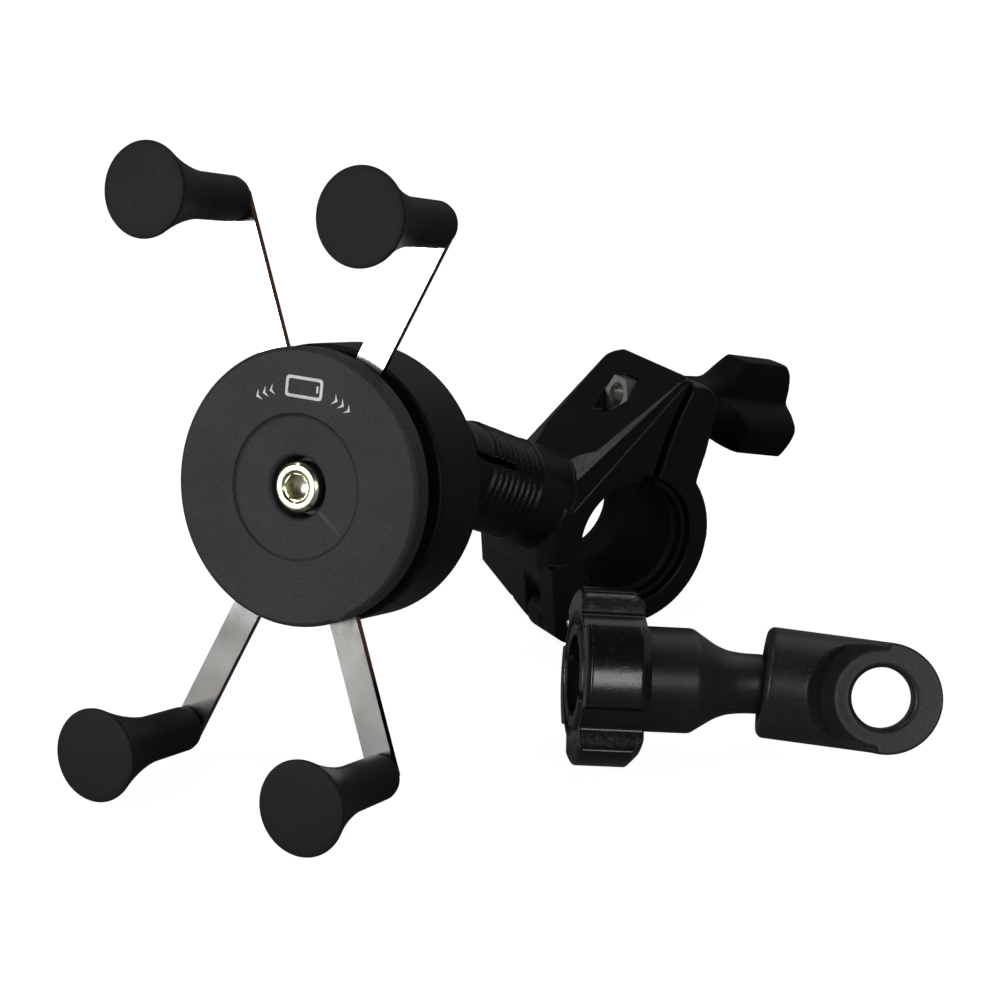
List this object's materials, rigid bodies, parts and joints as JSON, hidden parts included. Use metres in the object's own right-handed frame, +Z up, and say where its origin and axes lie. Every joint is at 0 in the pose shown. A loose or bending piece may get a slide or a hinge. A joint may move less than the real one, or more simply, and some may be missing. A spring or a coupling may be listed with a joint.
{
  "type": "phone handlebar mount",
  "caption": "Phone holder for a handlebar: sprung crossed steel arms with rubber caps, a ball joint, a hinged clamp with a screw knob, and a loose mirror-stem arm.",
  "frame": {"origin": "on the table, under the middle of the whole kit", "axes": "+Z up, +Y away from the rider's side of the holder, -Y the side the disc faces"},
  "size_m": [0.1448, 0.1858, 0.125],
  "materials": {
    "moulded_grey": "fine grained matt dark grey",
    "moulded_black": "matt black with a fine spark-eroded grain",
    "satin_black": "satin black glass-filled nylon",
    "gloss_black": "gloss black with fine handling scratches",
    "rubber_black": "matt black, slightly blue",
    "liner_rubber": "matt black",
    "nylon": "black self-lubricating nylon",
    "white_print": "white pad-print ink",
    "polished_steel": "mirror polished stainless strip",
    "steel": "bright turned steel",
    "zinc": "yellow passivated zinc"
  },
  "bodies": {
    "clamp_front": {"clamp_front_half": "satin_black", "liner_front": "liner_rubber", "hinge_pin": "steel", "clamp_nut": "steel"},
    "clamp_rear": {"clamp_rear_half": "satin_black", "liner_rear": "liner_rubber"},
    "knob_carrier": {"knob_washer": "steel"},
    "knob": {"clamp_knob": "moulded_black", "clamp_screw": "steel"},
    "ball_seat": {"ball_seat": "nylon"},
    "ball_stud": {"ball_stud": "satin_black"},
    "head": {"front_disc": "moulded_grey", "rear_housing": "satin_black", "centre_bolt": "zinc", "bolt_washer": "zinc", "lock_nut": "zinc", "torsion_spring": "steel"},
    "arm_a": {"arm_a": "polished_steel", "cap_top_left": "rubber_black", "cap_bottom_right": "rubber_black"},
    "arm_b": {"arm_b": "polished_steel", "cap_top_right": "rubber_black", "cap_bottom_left": "rubber_black"},
    "loose_arm": {"arm_socket": "satin_black"},
    "ring_nut": {"ring_nut": "gloss_black"},
    "eyelet": {"eyelet": "satin_black"}
  },
  "joints": [
    {"name": "clamp_hinge", "type": "hinge", "parent": "clamp_front", "child": "clamp_rear", "pos_m": [-0.03037, 0.0309, 0.00526], "axis": [-0.8545, 0.5195, 0], "range_deg": [0, 70]},
    {"name": "knob_travel", "type": "slide", "parent": "clamp_rear", "child": "knob_carrier", "axis": [0.5039, 0.8287, -0.2436], "range_m": [0, 0.008]},
    {"name": "knob_turn", "type": "hinge", "parent": "knob_carrier", "child": "knob", "pos_m": [-0.01367, 0.06548, 0.0466], "axis": [0.5039, 0.8287, -0.2436], "range_deg": [0, 3600]},
    {"name": "socket_turn", "type": "hinge", "parent": "clamp_front", "child": "ball_seat", "pos_m": [-0.0399, 0.00557, 0.04419], "axis": [0.3012, 0.8343, -0.4617], "range_deg": [-45, 45]},
    {"name": "ball_tilt", "type": "hinge", "parent": "ball_seat", "child": "ball_stud", "pos_m": [-0.0399, 0.00557, 0.04419], "axis": [0.6583, 0.1683, 0.7337], "range_deg": [-30, 4]},
    {"name": "head_twist", "type": "hinge", "parent": "ball_stud", "child": "head", "pos_m": [-0.0399, 0.00557, 0.04419], "axis": [0, -0.9747, 0.2236], "continuous": true},
    {"name": "arm_a_swing", "type": "hinge", "parent": "head", "child": "arm_a", "pos_m": [-0.0399, -0.05486, 0.05805], "axis": [0, -0.9747, 0.2236], "range_deg": [0, 28], "stiffness_Nm_per_rad": 0.3, "springref_deg": -20.05},
    {"name": "arm_b_swing", "type": "hinge", "parent": "head", "child": "arm_b", "pos_m": [-0.0399, -0.05486, 0.05805], "axis": [0, -0.9747, 0.2236], "range_deg": [-28, 0]},
    {"name": "loose_slide", "type": "slide", "parent": "clamp_front", "child": "loose_arm", "axis": [1, 0, 0], "range_m": [0, 0.06]},
    {"name": "ring_nut_turn", "type": "hinge", "parent": "loose_arm", "child": "ring_nut", "pos_m": [0.0134, -0.02436, 0.01775], "axis": [0.8205, 0.5639, -0.0941], "continuous": true},
    {"name": "eyelet_swivel", "type": "hinge", "parent": "loose_arm", "child": "eyelet", "pos_m": [0.04376, -0.00349, 0.01427], "axis": [0.9123, 0.3955, -0.1063], "continuous": true}
  ],
  "couplings": [
    {"joint": "arm_b_swing", "follows": "arm_a_swing", "ratio": -1},
    {"joint": "knob_travel", "follows": "knob_turn", "m_per_rad": 0.00012732}
  ]
}
